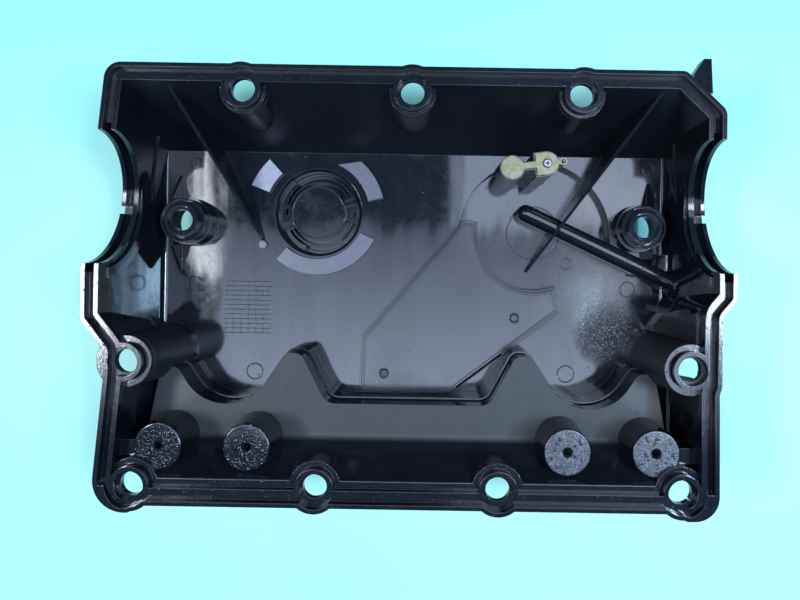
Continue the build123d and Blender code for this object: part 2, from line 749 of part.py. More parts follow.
def separator():
    """Chamber behind the baffle plate, seen as a raised box on the crown."""
    seat_z = floor_z + baffle_proud - baffle_thickness
    lid_relief = dome_outer + lid_clearance + lid_wall + 0.5
    relief = rod(dome_x, dome_y, -1, lid_top + lid_skirt + 0.6, lid_relief)
    box = prism(baffle_outline(wall), 0, crown_z + 1) - relief
    bead = baffle_outline(baffle_clearance + bead_width) - baffle_outline(baffle_clearance)
    beads = prism(bead, floor_z - 1, floor_z + bead_height)
    chamber = prism(baffle_outline(-baffle_seat) - disc(dome_x, dome_y, lid_relief + wall), wall, seat_z + 1)
    seat = prism(baffle_outline(baffle_clearance), seat_z, floor_z + 5)
    low = baffle_points[3]
    high = baffle_points[4]
    run = hypot(high[0] - low[0], high[1] - low[1])
    heading = degrees(atan2(high[1] - low[1], high[0] - low[0]))
    inlet = Box(run * 0.42, inlet_width + baffle_seat, 30, align=(Align.MIN, Align.MIN, Align.MIN))
    inlet = Pos(low[0], low[1], wall) * Rot(0, 0, heading) * Pos(4, -inlet_width, 0) * inlet
    gas_angle = degrees(atan2(baffle_points[3][1] - dome_y, baffle_points[3][0] - dome_x)) + 8
    gas = Pos(dome_x, dome_y, recess_crown_z - 1.5) * Rot(0, 0, gas_angle)
    gas_port = gas * Pos(dome_outer, 0, 0) * Box(16, 14, 2.6)
    columns = [rod(x, y, 1, seat_z, pin_column_radius) for x, y in baffle_pin_points]
    pin_holes = []
    for x, y in baffle_pin_points:
        pin_holes.append(rod(x, y, seat_z - baffle_pin_length, seat_z + 1, baffle_pin_radius))
    return [box], [beads], [chamber, seat, inlet, gas_port], columns, pin_holes


def recess_cut():
    """Deeper part of the floor: round the regulator and along the outlet end."""
    _, heading = duct_frame()
    slope = tan(radians(heading))
    far_y = duct_start[1] + slope * (BIG - duct_start[0])
    corner = [
        (dome_x, dome_y - 20),
        (baffle_points[5][0] - 4, baffle_points[5][1]),
        baffle_points[4],
        baffle_points[3],
        (baffle_points[3][0], -BIG),
        (BIG, -BIG),
        (BIG, far_y),
        (duct_start[0] + 25, duct_start[1] + slope * 25),
    ]
    area = disc(recess_x, recess_y, recess_radius) + make_face(Polyline(*corner, close=True))
    area = area - baffle_outline(baffle_clearance + bead_width + 0.6)
    return area & offset(deep_face, -ledge_width)


def gusset(points, end_z):
    """Thin rib from the rear wall down to the floor; its upper edge is one straight slope."""
    (x1, y1), (x2, y2) = points
    length = hypot(x2 - x1, y2 - y1)
    heading = degrees(atan2(y2 - y1, x2 - x1))
    foot = recess_z - 1
    corners = [(0, lip_z - rib_top_drop), (length, end_z), (length, foot), (0, foot)]
    profile = make_face(Polyline(*corners, close=True))
    web = Plane.XZ * extrude(profile, rib_thickness / 2, both=True)
    return Pos(x1, y1, 0) * Rot(0, 0, heading) * web


def ejector_marks():
    """Shallow round marks of the mould's ejector pins."""
    low = [ring(x, y, recess_z - mark_depth, recess_z + 1, r, r - 0.5) for x, y, r in recess_marks]
    return low + [ring(x, y, floor_z - mark_depth, floor_z + 1, r, r - 0.5) for x, y, r in floor_marks]


def outer_ribs():
    """Small gussets under the flange and the lug at the rear corner."""
    ribs = []
    under = lip_z - flange_thickness
    rear = top_y - outer_lip
    for x in outer_rib_top_x:
        rib = side_profile([(rear, under + 1), (rear - 14, under + 1), (rear - 22, under - outer_rib_drop),
                            (rear - 12, under - outer_rib_drop)], outer_rib / 2)
        ribs.append(Pos(x, 0, 0) * rib)
    face = bottom_y + outer_lip
    for x in outer_rib_bottom_x:
        rib = side_profile([(face, under + 1), (face + 16, under + 1), (face + 24, under - outer_rib_drop),
                            (face + 17, under - outer_rib_drop)], outer_rib / 2)
        ribs.append(Pos(x, 0, 0) * rib)
    lug = make_face(Polyline(*lug_points, (150.0, 110.0), close=True))
    ribs.append(prism(lug, under - lug_drop, under + 2))
    return ribs


def cover_shell():
    """The whole moulding as one solid."""
    outside = outer_body()
    recess = recess_cut()
    lower_crown = prism(offset(recess, wall) & offset(deep_face, wall), recess_crown_z, crown_z + 1)
    lower_crown = lower_crown & lean(wall) & end_walls(wall)
    pockets = bolt_columns(0.0, recess_crown_z - 5, lip_z - flange_thickness)
    boxes, beads, chamber_cuts, columns, pin_holes = separator()
    neck_add, neck_cut, ledge = filler_neck()
    post_add, post_cut = posts()
    pad_add, pad_cut = pads()
    duct_add, duct_cut = duct()
    regulator_add, regulator_cut = regulator()
    tower_add, tower_cut = drain_tower()

    block = outside + lower_crown
    hollow = cavity()
    lower_hollow = prism(recess, recess_z, floor_z + foot_round + 1) & lean(0.0)
    lower_hollow = (lower_hollow & end_walls(0.0, recess_z, foot_round)) - cheek()
    for column in bolt_columns(wall, recess_z - 5, lip_z - flange_thickness):
        lower_hollow = lower_hollow - column
    body = block + boxes + neck_add[:2] + outer_ribs()
    body = body - hollow - lower_hollow
    for pocket in pockets:
        body = body - pocket
    ribs = [gusset(rib_left, floor_z + 1.0), gusset(rib_right, recess_z + 2.0)]
    ribs = [rib & block for rib in ribs]
    body = body + flange() + neck_add[2:] + beads + ribs
    body = body + rod(*rib_boss, floor_z - 1, floor_z + rib_boss_height, rib_boss_radius)
    pad_bodies = [pad & outside for pad in pad_add]
    body = body + post_add + pad_bodies + duct_add + regulator_add + tower_add
    cuts = flange_cuts() + neck_cut + chamber_cuts + post_cut + pad_cut
    for cut in cuts + duct_cut + regulator_cut + tower_cut:
        body = body - cut
    body = body + ledge + columns
    for cut in pin_holes + ejector_marks():
        body = body - cut
    return body


# ---- loose pieces ----------------------------------------------------------------------------
def baffle_plate():
    """Flat plate with a raised rim, held down by two pins."""
    low = floor_z + baffle_proud - baffle_thickness
    high = floor_z + baffle_proud
    plate = prism(baffle_outline(), low, high)
    rim = baffle_outline() - baffle_outline(-baffle_rim)
    plate = plate + prism(rim, high - 0.5, high + baffle_rim_height)
    for x, y in baffle_pin_points:
        plate = plate - rod(x, y, low - 1, high + 1, baffle_pin_radius + 0.15)
        plate = plate - rod(x, y, high - 1.0, high + 1, baffle_pin_sink)
    return plate


def baffle_pins():
    """The two pins of the baffle plate."""
    high = floor_z + baffle_proud
    low = high - baffle_thickness - baffle_pin_length + 1.0
    pins = []
    for x, y in baffle_pin_points:
        shank = rod(x, y, low, high - 1.0, baffle_pin_radius)
        head = rod(x, y, high - 1.0, high - 0.1, baffle_pin_head, baffle_pin_head - 0.7)
        pins.append(shank + head)
    return Compound(children=[Solid(pin.solid().wrapped) for pin in pins])


def reed_leaf():
    """Spring-steel reed: round flap, narrow neck and clamped head with a slotted tip."""
    low = lip_z - reed_depth + reed_play
    flap = Pos(-reed_reach, 0) * Circle(reed_disc_radius)
    neck = Pos(-reed_reach / 2, 0) * Rectangle(reed_reach, reed_neck_width)
    tip = Pos(reed_tip_reach / 2, 0) * Rectangle(reed_tip_reach, 3.0)
    tip = tip + Pos(reed_tip_reach, 0) * Circle(guide_pin_radius + guide_pin_clearance + 0.9)
    leaf = reed_head(0.0) + flap + neck + tip
    leaf = leaf - Circle(rivet_radius + rivet_hole_clearance)
    leaf = leaf - Pos(reed_tip_reach, 0) * Circle(guide_pin_radius + guide_pin_clearance)
    return reed_place(0) * prism(leaf, low, low + reed_thickness)


def reed_rivet():
    """Rivet that holds the reed, with a domed head."""
    top = lip_z - reed_depth
    head_low = top + 2 * reed_play + reed_thickness
    shank = prism(Circle(rivet_radius), top - rivet_length, head_low)
    head = prism(Circle(rivet_head_radius), head_low, head_low + 1.1)
    head = fillet(head.edges().sort_by(Axis.Z)[-1], 0.8)
    dimple = Pos(0, 0, head_low + 1.1) * Sphere(0.9)
    return reed_place(0) * (shank + head - dimple)


cap_flange_top = neck_end_z - cap_seal_thickness - cap_clearance / 2
cap_flange_low = cap_flange_top - cap_flange_thickness


def cap_plug():
    """Bayonet plug of the filler cap, the part seen inside the cover."""
    body = rod(neck_x, neck_y, cap_flange_low, plug_end_z, plug_radius)
    body = body - rod(neck_x, neck_y, cap_flange_low - 1, plug_end_z - plug_wall, plug_radius - plug_wall)
    body = body - rod(neck_x, neck_y, plug_end_z - 0.9, plug_end_z + 1, plug_radius - 0.9)
    flange_ring = ring(neck_x, neck_y, cap_flange_low, cap_flange_top, cap_flange_radius, plug_radius - 0.5)
    collar_outer = neck_bore - cap_collar_clearance
    collar = ring(neck_x, neck_y, cap_flange_top - 0.5, bayonet_z - 0.6, collar_outer, collar_outer - 2.0)
    inner_top = bayonet_z + 1.4
    inner_ring = ring(neck_x, neck_y, cap_flange_top - 0.5, inner_top, plug_radius + 4.2, plug_radius + 3.0)
    lug_low = bayonet_z + bayonet_thickness + cap_clearance
    lug_high = lug_low + lug_thickness
    here = Pos(neck_x, neck_y)
    lugs = []
    for middle in (lug_middle, lug_middle - 180):
        plan = here * sector(plug_radius - 0.6, lug_reach, middle - lug_angle / 2, middle + lug_angle / 2)
        window = here * sector(plug_radius + 3.0, lug_reach - 1.4, middle - 15, middle - 5)
        notch = here * sector(plug_radius + 1.0, lug_reach + 1, middle + 12, middle + 17)
        lug = prism(plan, lug_low, lug_high) - prism(window, lug_low - 1, lug_high + 1)
        lug = lug - prism(notch, lug_low + 1.0, lug_high + 1)
        turn = Pos(neck_x, neck_y, lug_high - 0.5) * Rot(0, 0, middle + 8)
        rib_size = (lug_reach - plug_radius + 0.6, lug_rib, lug_rib_height)
        rib = Box(*rib_size, align=(Align.MIN, Align.CENTER, Align.MIN))
        lugs.append(lug + turn * Pos(plug_radius - 0.6, 0, 0) * rib)
    return body + flange_ring + collar + inner_ring + lugs


def cap_seal():
    """Flat rubber ring between the cap and the end of the neck."""
    top = cap_flange_top + cap_seal_thickness
    return ring(neck_x, neck_y, cap_flange_top, top, neck_lip_outer - 0.6, cap_seal_inner)


def cap_grip():
    """Outer hand grip of the cap: fluted rim and a raised bar."""
    skirt_high = cap_flange_top + 1.0
    disc_low = cap_flange_low - grip_top
    body = rod(neck_x, neck_y, disc_low, skirt_high, grip_radius)
    body = body - rod(neck_x, neck_y, cap_flange_low, skirt_high + 1, cap_flange_radius)
    for index in range(grip_flutes):
        angle = radians(360 / grip_flutes * index)
        x = neck_x + (grip_radius + 0.6) * cos(angle)
        y = neck_y + (grip_radius + 0.6) * sin(angle)
        body = body - rod(x, y, disc_low - 1, skirt_high + 1, grip_flute_radius)
    bar_size = (2 * (grip_radius - 7.0), grip_bar_width, disc_low + 0.5)
    bar = Box(*bar_size, align=(Align.CENTER, Align.CENTER, Align.MIN))
    bar = fillet(bar.edges().filter_by(Axis.Z), grip_bar_round)
    return body + Pos(neck_x, neck_y, 0) * bar


def breather_lid():
    """Snap-on lid of the pressure regulator."""
    outer = dome_outer + lid_clearance + lid_wall
    lid = rod(dome_x, dome_y, 0, lid_top + lid_skirt, outer)
    lid = lid - rod(dome_x, dome_y, lid_top, lid_top + lid_skirt + 1, dome_outer + lid_clearance)
    for index in range(catch_count):
        turn = Pos(dome_x, dome_y) * Rot(0, 0, 360 / catch_count * (index + 0.5))
        window = Box(8, catch_width + 0.6, catch_height + 0.6, align=(Align.MIN, Align.CENTER, Align.MIN))
        lid = lid - turn * Pos(dome_outer - 2, 0, dome_end_z + 1.3) * window
    ring_rib = ring(dome_x, dome_y, lid_top - 0.5, lid_top + 1.0, 12.0, 10.0)
    vent = rod(dome_x + 22, dome_y, -1, lid_top + 1, 1.0)
    return lid + ring_rib - vent


def diaphragm():
    """Rolling rubber diaphragm, clamped at its bead between housing and lid."""
    top = diaphragm_z + 1
    flat = Polyline((4.2, diaphragm_z), (18.5, diaphragm_z), (18.5, top), (4.2, top), close=True)
    centre = revolve(Plane.XZ * make_face(flat), Axis.Z)
    edge = dome_outer - dome_wall - 1.0
    high = dome_end_z - 0.2
    upper = ThreePointArc((18.5, diaphragm_z + 1), (26.0, diaphragm_z + 4.2), (edge, high))
    lower = ThreePointArc((edge, high - 1), (26.0, diaphragm_z + 3.2), (18.5, diaphragm_z))
    roll = make_face([
        upper,
        Line((edge, high), (edge, high - 1)),
        lower,
        Line((18.5, diaphragm_z), (18.5, diaphragm_z + 1)),
    ])
    skin = revolve(Plane.XZ * roll, Axis.Z)
    bead = ring(0, 0, lid_top, dome_end_z, dome_outer - 0.2, edge - 0.4)
    return Pos(dome_x, dome_y, 0) * (centre + skin + bead)


def diaphragm_disc():
    """Stiff plastic disc at the middle of the diaphragm, with a snap stud through it."""
    plate = rod(dome_x, dome_y, diaphragm_z + 1, diaphragm_z + 2, 13.8)
    stud = rod(dome_x, dome_y, diaphragm_z - 1, diaphragm_z + 1.2, 4.1)
    head = rod(dome_x, dome_y, diaphragm_z - 1.8, diaphragm_z, 5.6)
    return plate + stud + head


def regulator_spring():
    """Compression spring between the diaphragm disc and the crown."""
    wire = 0.55
    coil = 8.0
    low = diaphragm_z + 2 + wire
    high = recess_crown_z - wire
    path = Pos(dome_x, dome_y, low) * Helix(pitch=(high - low) / 4, height=high - low, radius=coil)
    start = path.position_at(0)
    heading = path.tangent_at(0)
    return sweep(Plane(origin=start, z_dir=heading) * Circle(wire), path)


PIECES = {
    "cover_shell": cover_shell,
    "baffle_plate": baffle_plate,
    "baffle_pins": baffle_pins,
    "reed_leaf": reed_leaf,
    "reed_rivet": reed_rivet,
    "cap_plug": cap_plug,
    "cap_seal": cap_seal,
    "cap_grip": cap_grip,
    "breather_lid": breather_lid,
    "diaphragm": diaphragm,
    "diaphragm_disc": diaphragm_disc,
    "regulator_spring": regulator_spring,
}

for name, make in PIECES.items():
    export_step(make(), f"parts/{name}.step")
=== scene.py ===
"""Engine valve cover lying on its crown: studio, camera, materials and small surface detail.

The cover's own solids come from the frame. Lengths are in metres, unless a comment says
millimetres.
"""
import math

import bmesh
import bpy
from mathutils import Euler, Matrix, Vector


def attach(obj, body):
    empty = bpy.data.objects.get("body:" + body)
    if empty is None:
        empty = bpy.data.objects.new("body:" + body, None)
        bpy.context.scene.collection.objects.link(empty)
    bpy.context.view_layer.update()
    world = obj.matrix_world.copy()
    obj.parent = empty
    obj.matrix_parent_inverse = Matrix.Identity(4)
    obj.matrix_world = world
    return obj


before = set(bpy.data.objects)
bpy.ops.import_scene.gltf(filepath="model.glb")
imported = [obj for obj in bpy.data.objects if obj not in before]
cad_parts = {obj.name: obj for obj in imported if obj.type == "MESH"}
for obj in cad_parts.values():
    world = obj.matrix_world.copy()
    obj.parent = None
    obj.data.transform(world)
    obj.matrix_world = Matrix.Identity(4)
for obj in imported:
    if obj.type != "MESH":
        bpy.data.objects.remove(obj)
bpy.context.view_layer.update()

MM = 0.001

# heights of the cover's levels
LIP_Z = 90.0 * MM
PAD_Z = 83.0 * MM
SHELF_Z = 57.0 * MM
POST_Z = 45.0 * MM
FLOOR_Z = 25.0 * MM
RECESS_Z = 17.0 * MM

# places in plan
FILLER_NECK = (-60.6 * MM, 47.2 * MM)
# filler pad where a highlight is painted on
PAINTED_HIGHLIGHT_RAMP = (-94.0 * MM, 68.0 * MM)
MISTED_SPOT = (122.0 * MM, -26.0 * MM)
HAZY_SPOT = (108.0 * MM, -2.0 * MM)
SIDE_COLUMN = (142.0 * MM, -40.0 * MM)
PAD_STRIP_Y = -60.0 * MM
SHELF_EDGE_Y = -35.5 * MM
REAR_WALL_Y = 70.0 * MM
BEARING_PADS = [(-135.0 * MM, -85.7 * MM), (-87.0 * MM, -85.7 * MM),
                (87.0 * MM, -85.7 * MM), (135.0 * MM, -85.7 * MM)]

FLOAT = "NodeSocketFloat"
INTEGER = "NodeSocketInt"
VECTOR = "NodeSocketVector"
MATERIAL = "NodeSocketMaterial"
GEOMETRY = "NodeSocketGeometry"


# ---- node helpers ---------------------------------------------------------------------------
class Nodes:
    """Short way to add and link the nodes of one tree."""

    per_row = 9
    step_x = 200
    step_y = 320

    def __init__(self, tree):
        self.tree = tree
        self.count = 0

    def add(self, kind, inputs=None, **settings):
        node = self.tree.nodes.new(kind)
        self.count += 1
        row, column = divmod(self.count, self.per_row)
        node.location = (column * self.step_x, -row * self.step_y)
        for key, value in settings.items():
            setattr(node, key, value)
        for key, value in (inputs or {}).items():
            self.feed(node, key, value)
        return node

    def feed(self, node, key, value):
        if isinstance(value, bpy.types.NodeSocket):
            self.tree.links.new(value, node.inputs[key])
        else:
            node.inputs[key].default_value = value

    # numbers
    def math(self, operation, a, b=0.0, clamp=False):
        node = self.add("ShaderNodeMath", {0: a, 1: b}, operation=operation, use_clamp=clamp)
        return node.outputs[0]

    def product(self, *values):
        result = values[0]
        for value in values[1:]:
            result = self.math("MULTIPLY", result, value)
        return result

    def total(self, shares, masks, base=0.0):
        """Sum of named masks, each with its own weight, on top of a base value."""
        result = base
        for name, weight in shares:
            result = self.math("ADD", self.math("MULTIPLY", masks[name], weight), result)
        return result

    def ramp(self, value, low, high, to_low=0.0, to_high=1.0):
        node = self.add("ShaderNodeMapRange", {"Value": value, "From Min": low, "From Max": high,
                                               "To Min": to_low, "To Max": to_high})
        return node.outputs[0]

    def band(self, value, low, high, soft=0.4 * MM):
        """1 between two values, 0 outside."""
        rise = self.ramp(value, low - soft, low + soft)
        fall = self.ramp(value, high - soft, high + soft, 1.0, 0.0)
        return self.math("MULTIPLY", rise, fall)

    def blend(self, factor, a, b):
        node = self.add("ShaderNodeMix", data_type="FLOAT")
        for key, value in ((0, factor), (2, a), (3, b)):
            self.feed(node, key, value)
        return node.outputs[0]

    # vectors
    def vector(self, operation, a, b=None):
        inputs = {0: a} if b is None else {0: a, 1: b}
        return self.add("ShaderNodeVectorMath", inputs, operation=operation)

    def scaled(self, vector, factor):
        node = self.vector("SCALE", vector)
        self.feed(node, "Scale", factor)
        return node.outputs[0]

    def place(self):
        return self.add("ShaderNodeTexCoord").outputs["Object"]

    def true_normal(self):
        return self.add("ShaderNodeNewGeometry").outputs["Normal"]

    def axes(self, vector):
        return self.add("ShaderNodeSeparateXYZ", {0: vector}).outputs

    def spot(self, place, centre, radius, soft):
        """1 inside an upright cylinder, 0 outside."""
        flat = self.vector("MULTIPLY", place, (1.0, 1.0, 0.0)).outputs[0]
        gap = self.vector("DISTANCE", flat, (centre[0], centre[1], 0.0)).outputs["Value"]
        return self.ramp(gap, radius - soft, radius + soft, 1.0, 0.0)

    def bump(self, height, normal):
        node = self.add("ShaderNodeBump", {"Strength": 1.0, "Distance": 1.0, "Height": height,
                                           "Normal": normal})
        return node.outputs[0]

    # patterns and colours
    def noise(self, vector, scale, detail, rough, output="Fac"):
        node = self.add("ShaderNodeTexNoise", {"Vector": vector, "Scale": scale,
                                               "Detail": detail, "Roughness": rough})
        return node.outputs[output]

    def mix(self, factor, a, b):
        node = self.add("ShaderNodeMix", data_type="RGBA")
        for key, value in ((0, factor), (6, a), (7, b)):
            self.feed(node, key, value)
        return node.outputs[2]

    def group(self, tree, **values):
        """A shared effect with its own values; the input names are the tree's."""
        return self.add("ShaderNodeGroup", values, node_tree=tree).outputs


def new_group(name, inputs, outputs, kind="ShaderNodeTree"):
    """Node group with named sockets; returns the tree, its nodes, its inputs and its end."""
    tree = bpy.data.node_groups.new(name, kind)
    for label, socket_kind, value in inputs:
        socket = tree.interface.new_socket(label, in_out="INPUT", socket_type=socket_kind)
        if value is not None:
            socket.default_value = value
    for label, socket_kind in outputs:
        tree.interface.new_socket(label, in_out="OUTPUT", socket_type=socket_kind)
    nodes = Nodes(tree)
    start = nodes.add("NodeGroupInput")
    end = nodes.add("NodeGroupOutput")
    return tree, nodes, start.outputs, end


# ---- effects shared by the materials --------------------------------------------------------
def soft_edge_group():
    """Rounded look on sharp edges, and a mask of where those edges are."""
    tree, n, i, end = new_group(
        "soft_edge",
        [("Radius", FLOAT, 0.6 * MM)],
        [("Edge", FLOAT), ("Normal", VECTOR)])
    rounded = n.add("ShaderNodeBevel", {"Radius": i["Radius"]}, samples=6).outputs[0]
    agreement = n.vector("DOT_PRODUCT", rounded, n.true_normal()).outputs["Value"]
    n.feed(end, "Edge", n.ramp(agreement, 0.995, 0.85))
    n.feed(end, "Normal", rounded)
    return tree


def oil_film_group():
    """Oil left on the plastic: glossy where it lies, duller where it has drained."""
    tree, n, i, end = new_group(
        "oil_film",
        [("Scale", FLOAT, 30.0), ("Dry", FLOAT, 0.3), ("Wet", FLOAT, 0.1),
         ("Coverage", FLOAT, 0.6)],
        [("Roughness", FLOAT)])
    softness = 0.12
    place = n.place()
    cloud = n.noise(place, i["Scale"], detail=5.0, rough=0.6)
    shore = n.math("SUBTRACT", 1.0, i["Coverage"])
    wet = n.ramp(cloud, n.math("SUBTRACT", shore, softness), n.math("ADD", shore, softness))
    fine = n.noise(place, n.math("MULTIPLY", i["Scale"], 11.0), detail=4.0, rough=0.6)
    rough = n.blend(wet, i["Dry"], i["Wet"])
    uneven = n.ramp(fine, 0.3, 0.7, -0.03, 0.03)
    n.feed(end, "Roughness", n.math("ADD", rough, uneven, clamp=True))
    return tree


def moulded_waves_group():
    """Slow waves that a large moulded face always has; they bend its reflections."""
    tree, n, i, end = new_group(
        "moulded_waves",
        [("Across", FLOAT, 60.0), ("Along", FLOAT, 12.0), ("Tilt", FLOAT, 0.02),
         ("Normal", VECTOR, None)],
        [("Normal", VECTOR)])
    stretch = n.add("ShaderNodeCombineXYZ", {0: i["Across"], 1: i["Along"], 2: i["Across"]})
    stretched = n.vector("MULTIPLY", n.place(), stretch.outputs[0]).outputs[0]
    cloud = n.noise(stretched, 1.0, detail=2.0, rough=0.45, output="Color")
    centred = n.vector("SUBTRACT", cloud, (0.5, 0.5, 0.5)).outputs[0]
    moved = n.vector("ADD", i["Normal"], n.scaled(centred, i["Tilt"])).outputs[0]
    n.feed(end, "Normal", n.vector("NORMALIZE", moved).outputs[0])
    return tree


def fine_grain_group():
    """Fine grain of mould texture, dried mist and scuffs; the mask says where."""
    tree, n, i, end = new_group(
        "fine_grain",
        [("Scale", FLOAT, 1500.0), ("Depth", FLOAT, 0.04 * MM), ("Mask", FLOAT, 1.0),
         ("Normal", VECTOR, None)],
        [("Normal", VECTOR)])
    grain = n.noise(n.place(), i["Scale"], detail=3.0, rough=0.7)
    n.feed(end, "Normal", n.bump(n.product(grain, i["Mask"], i["Depth"]), i["Normal"]))
    return tree


def oil_specks_group():
    """Small raised oil drops and specks of residue; the mask says where."""
    tree, n, i, end = new_group(
        "oil_specks",
        [("Scale", FLOAT, 700.0), ("Amount", FLOAT, 0.3), ("Height", FLOAT, 0.3 * MM),
         ("Mask", FLOAT, 1.0), ("Normal", VECTOR, None)],
        [("Normal", VECTOR)])
    smallest, largest = 0.12, 0.36
    cells = n.add("ShaderNodeTexVoronoi", {"Vector": n.place(), "Scale": i["Scale"],
                                           "Randomness": 1.0})
    chance = n.add("ShaderNodeSeparateColor", {"Color": cells.outputs["Color"]}).outputs
    keep = n.math("LESS_THAN", chance[0], n.math("MULTIPLY", i["Amount"], i["Mask"]))
    radius = n.ramp(chance[1], 0.0, 1.0, smallest, largest)
    reach = n.math("DIVIDE", cells.outputs["Distance"], radius)
    cone = n.math("SUBTRACT", 1.0, reach, clamp=True)
    dome = n.math("MULTIPLY", n.math("POWER", cone, 0.5), keep)
    n.feed(end, "Normal", n.bump(n.math("MULTIPLY", dome, i["Height"]), i["Normal"]))
    return tree


def dust_group():
    """Fine pale residue that settles on faces that look up."""
    tree, n, i, end = new_group(
        "dust",
        [("Scale", FLOAT, 90.0), ("Amount", FLOAT, 0.3)],
        [("Mask", FLOAT)])
    place = n.place()
    facing = n.ramp(n.axes(n.true_normal())["Z"], 0.3, 0.95)
    patch = n.ramp(n.noise(place, i["Scale"], detail=6.0, rough=0.65), 0.42, 0.72)
    fine = n.noise(place, n.math("MULTIPLY", i["Scale"], 14.0), detail=3.0, rough=0.7)
    n.feed(end, "Mask", n.product(facing, patch, n.ramp(fine, 0.5, 0.7), i["Amount"]))
    return tree


EDGE = soft_edge_group()
FILM = oil_film_group()
WAVES = moulded_waves_group()
GRAIN = fine_grain_group()
SPECKS = oil_specks_group()
DUST = dust_group()


# ---- materials ------------------------------------------------------------------------------
SHADOW_BLACK = (0.0035, 0.0045, 0.007, 1)
MOULDED_BLACK = (0.007, 0.0085, 0.012, 1)
SHELF_BLACK = (0.007, 0.012, 0.012, 1)
# lighter black painted on the right-hand pads as the sheen of light on them
DRY_PAD_PAINTED_SHEEN = (0.020, 0.022, 0.030, 1)
# lighter tone painted along sharp edges as their highlight
EDGE_PAINTED_HIGHLIGHT = (0.020, 0.024, 0.032, 1)
# lilac grey painted on the rough filler pads as the sheen of light on them
FILLER_SHEEN_GREY = (0.085, 0.09, 0.125, 1)
# pale lilac grey painted on one filler pad as its highlight
FILLER_PAINTED_HIGHLIGHT = (0.26, 0.27, 0.34, 1)
# pale grey painted on in specks as glints of light
PAINTED_GLINT_GREY = (0.40, 0.42, 0.52, 1)
DRIED_DUST = (0.16, 0.18, 0.19, 1)
STEEL_EDGE = (0.05, 0.045, 0.03, 1)

PLASTIC_IOR = 1.6
EDGE_HIGHLIGHT_SHARE = 0.4
GRAIN_SIZE = {"Scale": 1300.0, "Depth": 0.11 * MM}
SPECK_SIZE = {"Scale": 620.0, "Amount": 0.5, "Height": 0.16 * MM}


def blank_material(name):
    material = bpy.data.materials.new(name)
    material.use_nodes = True
    material.node_tree.nodes.clear()
    return material, Nodes(material.node_tree)


def finish_material(n, color, roughness, normal, metallic=0.0, ior=1.5):
    shader = n.add("ShaderNodeBsdfPrincipled",
                   {"Base Color": color, "Roughness": roughness, "Normal": normal})
    shader.inputs["Metallic"].default_value = metallic
    shader.inputs["IOR"].default_value = ior
    n.add("ShaderNodeOutputMaterial", {0: shader.outputs[0]})


# the cover's finishes, in the order in which they are laid on: roughness of each
COVER_ROUGHNESS = (("shelf", 0.60), ("lips", 0.11), ("groove", 0.12), ("filler", 0.42),
                   ("dry_pads_and_sheen", 0.28), ("misted", 0.24), ("rear_wall", 0.34), ("columns", 0.5))
# how strongly each finish has mould grain, pooled oil and drops
GRAIN_SHARES = (("shelf", 0.8), ("dry_pads_and_sheen", 0.3), ("misted", 2.6), ("haze", 0.9))
GRAIN_EVERYWHERE = 0.06
POOL_SIZE = {"Scale": 560.0, "Depth": 0.12 * MM}
POOL_SHARES = (("lips", 0.3), ("groove", 0.4), ("post_tops", 0.5), ("wet_pads", 0.35),
               ("dry_pads_and_sheen", 0.8), ("misted", 1.2))
DROP_SHARES = (("lips", 0.2), ("groove", 0.2), ("pads", 1.0), ("misted", 0.9), ("shelf", 0.16))
DROPS_EVERYWHERE = 0.03
# the post tops lean, the misted patch sags the other way, and the lips stay flat
LEAN = (0.0, 0.14, 0.0)
MIST_SAG = 1.3
LIP_STEADINESS = 1.6


